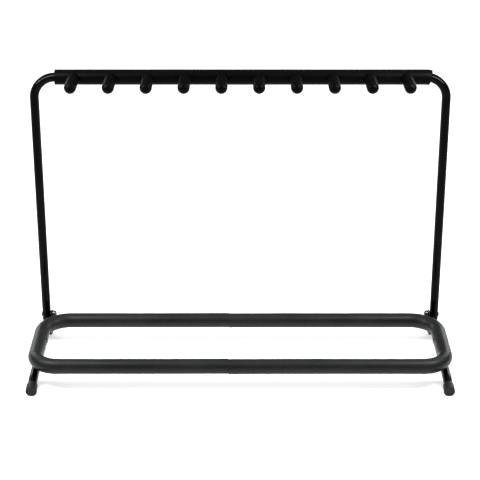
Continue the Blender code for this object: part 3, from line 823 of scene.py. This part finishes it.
def plate_outline(spots, sides):
    """The hull of circles (y, z, radius), as points of one closed line."""
    turns = [math.tau * k / sides for k in range(sides)]
    points = sorted({(y + r * math.cos(a), z + r * math.sin(a)) for y, z, r in spots for a in turns})

    def half(items):
        chain = []
        for p in items:
            while len(chain) > 1:
                (ax, ay), (bx, by) = chain[-2], chain[-1]
                if (bx - ax) * (p[1] - ay) - (by - ay) * (p[0] - ax) > 0:
                    break
                chain.pop()
            chain.append(p)
        return chain[:-1]

    return half(points) + half(points[::-1])


def hinge_plates():
    """One plate on the inner side of each rail, from its two rivets up to the pivot."""
    for label in SIDES:
        node = f"hinge_plate_{label}"
        low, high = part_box(node)
        spots = [(PIVOT.y, PIVOT.z, PLATE_EYE)]
        spots += [(mid(f"hinge_rivet_{end}_{label}").y, RAIL_Z, PLATE_TAIL) for end in ("rear", "front")]
        outline = plate_outline(spots, PIVOT_SIDES)
        centre = Vector((sum(p[0] for p in outline), sum(p[1] for p in outline))) / len(outline)
        # (inset, height over the face) of the broken edge
        edge = [(PLATE_EDGE, 0), (0.3 * PLATE_EDGE, 0.3 * PLATE_EDGE), (0, PLATE_EDGE)]
        layers = [(inset, low.x + rise) for inset, rise in edge]
        layers += [(inset, high.x - rise) for inset, rise in reversed(edge)]
        bm = bmesh.new()
        rows = []
        for inset, x in layers:
            row = []
            for y, z in outline:
                away = (Vector((y, z)) - centre).normalized() * inset
                row.append(bm.verts.new((x, y - away.x, z - away.y)))
            rows.append(row)
        for lower, upper in zip(rows, rows[1:]):
            for k in range(len(outline)):
                j = (k + 1) % len(outline)
                bm.faces.new((lower[k], lower[j], upper[j], upper[k]))
        bm.faces.new(rows[0])
        bm.faces.new(rows[-1])
        piece(f"plate_{label}", bm, COAT, "base_frame", "black_powder_coat", node)


# Fasteners and plugs

SHANK_RADIUS = 0.0030  # rivets and screws
FASTENER_SIDES = 40
RIVET_HEAD_RADIUS = 0.0055
RIVET_HEAD_HEIGHT = 0.0018
RIVET_COLLAR = 0.0010  # between the rail and the plate
RIVET_FILLET = 0.0002
RIVET_CROWN = ((0, 0), (0.0024, 0), (0.0044, 0.0005), (0.0054, 0.0012))  # (radius, depth) of a head
SCREW_HEAD_RADIUS = 0.0050
SCREW_HEAD_HEIGHT = 0.0040
SCREW_FACE = 0.0036  # radius of the head's flat rim
SCREW_CROWN = 0.0014  # height of the head's rounded edge
SCREW_CHAMFER = 0.0005
SCREW_FILLET = 0.0003
SOCKET_DEPTH = 0.0020
SOCKET_RADIUS = 0.0020
SOCKET_BOTTOM = 0.0017
SCREW_TIP = 0.0024
STOP_RADIUS = 0.0075
STOP_LENGTH = 0.0040
STOP_CHAMFER = 0.0008
STOP_FILLET = 0.0004


def rivets():
    """Rivets through the rails, headed at both ends, with a collar that the plate lies on."""
    for label, side in SIDES.items():
        for end in ("rear", "front"):
            node = f"hinge_rivet_{end}_{label}"
            low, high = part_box(node)
            start, stop = sorted(SIDE_X - side * x for x in (low.x, high.x))
            wall = TUBE_RADIUS + CLEARANCE
            collar, seat = wall + RIVET_COLLAR, stop - RIVET_HEAD_HEIGHT
            profile = [(radius, start + depth) for radius, depth in RIVET_CROWN]
            profile += [
                (RIVET_HEAD_RADIUS, -wall), (SHANK_RADIUS, -wall),
                (SHANK_RADIUS, wall), (RIVET_HEAD_RADIUS, wall),
                (RIVET_HEAD_RADIUS, collar), (SHANK_RADIUS, collar),
                (SHANK_RADIUS, seat), (RIVET_HEAD_RADIUS, seat),
            ]
            profile += [(radius, stop - depth) for radius, depth in reversed(RIVET_CROWN)]
            centre = mid(node)
            inwards = place_at((side * SIDE_X, centre.y, centre.z), (-side, 0, 0), Z)
            bm = moved(lathe(rounded(profile, RIVET_FILLET, 2), FASTENER_SIDES), inwards)
            piece(f"rivet_{end}_{label}", bm, STEEL, "base_frame", "black_steel_fastener", node)


def screws():
    """Socket screws from under the rails up into the loop."""
    for label in SIDES:
        for end in ("rear", "front"):
            node = f"rail_screw_{end}_{label}"
            low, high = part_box(node)
            centre = mid(node)
            floor, seat = low.z + SOCKET_DEPTH, low.z + SCREW_HEAD_HEIGHT
            profile = [
                (0, floor), (SOCKET_BOTTOM, floor), (SOCKET_RADIUS, low.z), (SCREW_FACE, low.z),
                (SCREW_HEAD_RADIUS - 0.0002, low.z + SCREW_CROWN), (SCREW_HEAD_RADIUS, seat),
                (SHANK_RADIUS, seat), (SHANK_RADIUS, high.z - SCREW_CHAMFER),
                (SCREW_TIP, high.z), (0, high.z),
            ]
            place = Matrix.Translation((centre.x, centre.y, 0))
            bm = moved(lathe(rounded(profile, SCREW_FILLET, 2), FASTENER_SIDES), place)
            piece(f"screw_{end}_{label}", bm, STEEL, "base_frame", "black_steel_fastener", node)


def stop_plugs():
    """Plugs in the rails' rear ends, which the uprights meet."""
    for label, side in SIDES.items():
        node = f"rail_stop_plug_{label}"
        low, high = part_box(node)
        length = high.y - low.y
        shoulder = length - (STOP_LENGTH - CLEARANCE)
        stem = TUBE_RADIUS - TUBE_WALL - 3 * CLEARANCE
        profile = [
            (0, 0), (stem, 0), (stem, shoulder), (STOP_RADIUS, shoulder),
            (STOP_RADIUS, length - STOP_CHAMFER), (STOP_RADIUS - STOP_CHAMFER, length), (0, length),
        ]
        place = place_at((side * SIDE_X, low.y, RAIL_Z), Y, X)
        bm = moved(lathe(rounded(profile, STOP_FILLET, 3), FASTENER_SIDES), place)
        piece(f"stop_plug_{label}", bm, NYLON, "base_frame", "nylon", node)


def inner_parts():
    """CAD nodes that stay as they are get the same finishes."""
    finishes = {"base_loop_tube": COAT, "peg_rod": COAT, "rail_spacer": NYLON}
    for name, obj in frame["nodes"].items():
        for start, material in finishes.items():
            if name.startswith(start):
                obj.data.materials.clear()
                obj.data.materials.append(material)


# Studio

ROOM = 0.05
CEILING = 1.2
CEILING_EDGE = (0.40, 0.92)  # the part of the sky's height over which the room turns into the ceiling
FLOOR_SIZE = 150
FLOOR_DROP = 0.0002  # just under the feet
FLOOR_GLOW = 0.54  # the floor is a lit white sweep
STRIP = 20
STRIP_SIZE = (0.10, 0.70)
STRIP_OFFSET = (0.34, -0.38, 0.44)  # outside, in front of and above the right-hand top bend
STRIP_LEAN = (-0.783, -0.13, 0.609)  # direction of the strip's long side
SOFTBOX = 18
SOFTBOX_SIZE = (0.9, 0.9)
SOFTBOX_PLACE = (1.7, 1.9, 0.9)
SOFTBOX_AIM = 0.15  # in front of the uprights
LENS = 111.2
CAMERA_PITCH = math.radians(23.5)
CAMERA_X = -0.0007
CAMERA_BACK = 3.418
CAMERA_HEIGHT = 1.747


def area_light(name, place, target, along, size, power):
    """A rectangular softbox that faces a target, with its long side near the direction along."""
    data = bpy.data.lights.new(name, "AREA")
    data.shape = "RECTANGLE"
    data.size, data.size_y = size
    data.energy = power
    obj = bpy.data.objects.new(name, data)
    bpy.context.scene.collection.objects.link(obj)
    back = (Vector(place) - Vector(target)).normalized()
    across = Vector(along).cross(back).normalized()
    axes = Matrix((across, back.cross(across), back)).transposed()
    obj.matrix_world = Matrix.Translation(place) @ axes.to_4x4()


def mirrored(vector, side):
    """A vector given for the right-hand side, for either side."""
    return Vector((side * vector[0], vector[1], vector[2]))


def white_floor():
    """A pale sweep that reaches to the horizon."""
    bm = bmesh.new()
    bmesh.ops.create_grid(bm, x_segments=4, y_segments=4, size=FLOOR_SIZE)
    mesh = bpy.data.meshes.new("floor")
    bm.to_mesh(mesh)
    bm.free()
    n = Nodes("pale_floor", (0.8, 0.8, 0.8), 0.7)
    n.colour(n.blend(n.ramp(n.noise(1.5, 3), 0, 1, 0.3, 0.7), (0.80, 0.80, 0.80), (0.82, 0.82, 0.82)))
    n.fixed(Specular_IOR_Level=0.1, Emission_Color=(1, 1, 1, 1), Emission_Strength=FLOOR_GLOW)
    mesh.materials.append(n.material)
    floor = bpy.data.objects.new("floor", mesh)
    bpy.context.scene.collection.objects.link(floor)
    floor.location.z = -FLOOR_DROP


def room():
    """A dim room under a broad bright ceiling."""
    world = bpy.data.worlds.new("studio")
    bpy.context.scene.world = world
    world.use_nodes = True
    tree = world.node_tree
    background = tree.nodes["Background"]
    background.inputs["Color"].default_value = (1, 1, 1, 1)
    direction = tree.nodes.new("ShaderNodeTexCoord")
    split = tree.nodes.new("ShaderNodeSeparateXYZ")
    ceiling = tree.nodes.new("ShaderNodeMapRange")
    ceiling.interpolation_type = "SMOOTHSTEP"
    for key, number in zip(("From Min", "From Max", "To Min", "To Max"), (*CEILING_EDGE, ROOM, CEILING)):
        ceiling.inputs[key].default_value = number
    tree.links.new(direction.outputs["Generated"], split.inputs["Vector"])
    tree.links.new(split.outputs["Z"], ceiling.inputs["Value"])
    tree.links.new(ceiling.outputs["Result"], background.inputs["Strength"])


def lights():
    """A strip along each top bend, and a softbox behind each side that rims the loop."""
    for name, side in SIDES.items():
        top_bend = Vector((side * SIDE_X, UPRIGHT_Y, TOP_Z))
        strip = top_bend + mirrored(STRIP_OFFSET, side)
        area_light(f"{name}_strip", strip, top_bend, mirrored(STRIP_LEAN, side), STRIP_SIZE, STRIP)
        corner = Vector((side * SIDE_X, UPRIGHT_Y - SOFTBOX_AIM, LOOP_Z))
        area_light(f"{name}_softbox", mirrored(SOFTBOX_PLACE, side), corner, X, SOFTBOX_SIZE, SOFTBOX)


def camera():
    """The photo's view, from in front and above."""
    data = bpy.data.cameras.new("camera")
    data.sensor_width = 36
    data.lens = LENS
    obj = bpy.data.objects.new("camera", data)
    bpy.context.scene.collection.objects.link(obj)
    obj.location = (CAMERA_X, UPRIGHT_Y - CAMERA_BACK, CAMERA_HEIGHT)
    obj.rotation_euler = (math.pi / 2 - CAMERA_PITCH, 0, 0)
    bpy.context.scene.camera = obj


uprights()
rails()
for label, side in SIDES.items():
    loop_foam(label, side)
    rail_foam(label, side)
for number in range(1, 11):
    peg(number)
feet()
pivots()
hinge_plates()
rivets()
screws()
stop_plugs()
inner_parts()
white_floor()
room()
lights()
camera()
bpy.context.scene.view_settings.view_transform = "Standard"
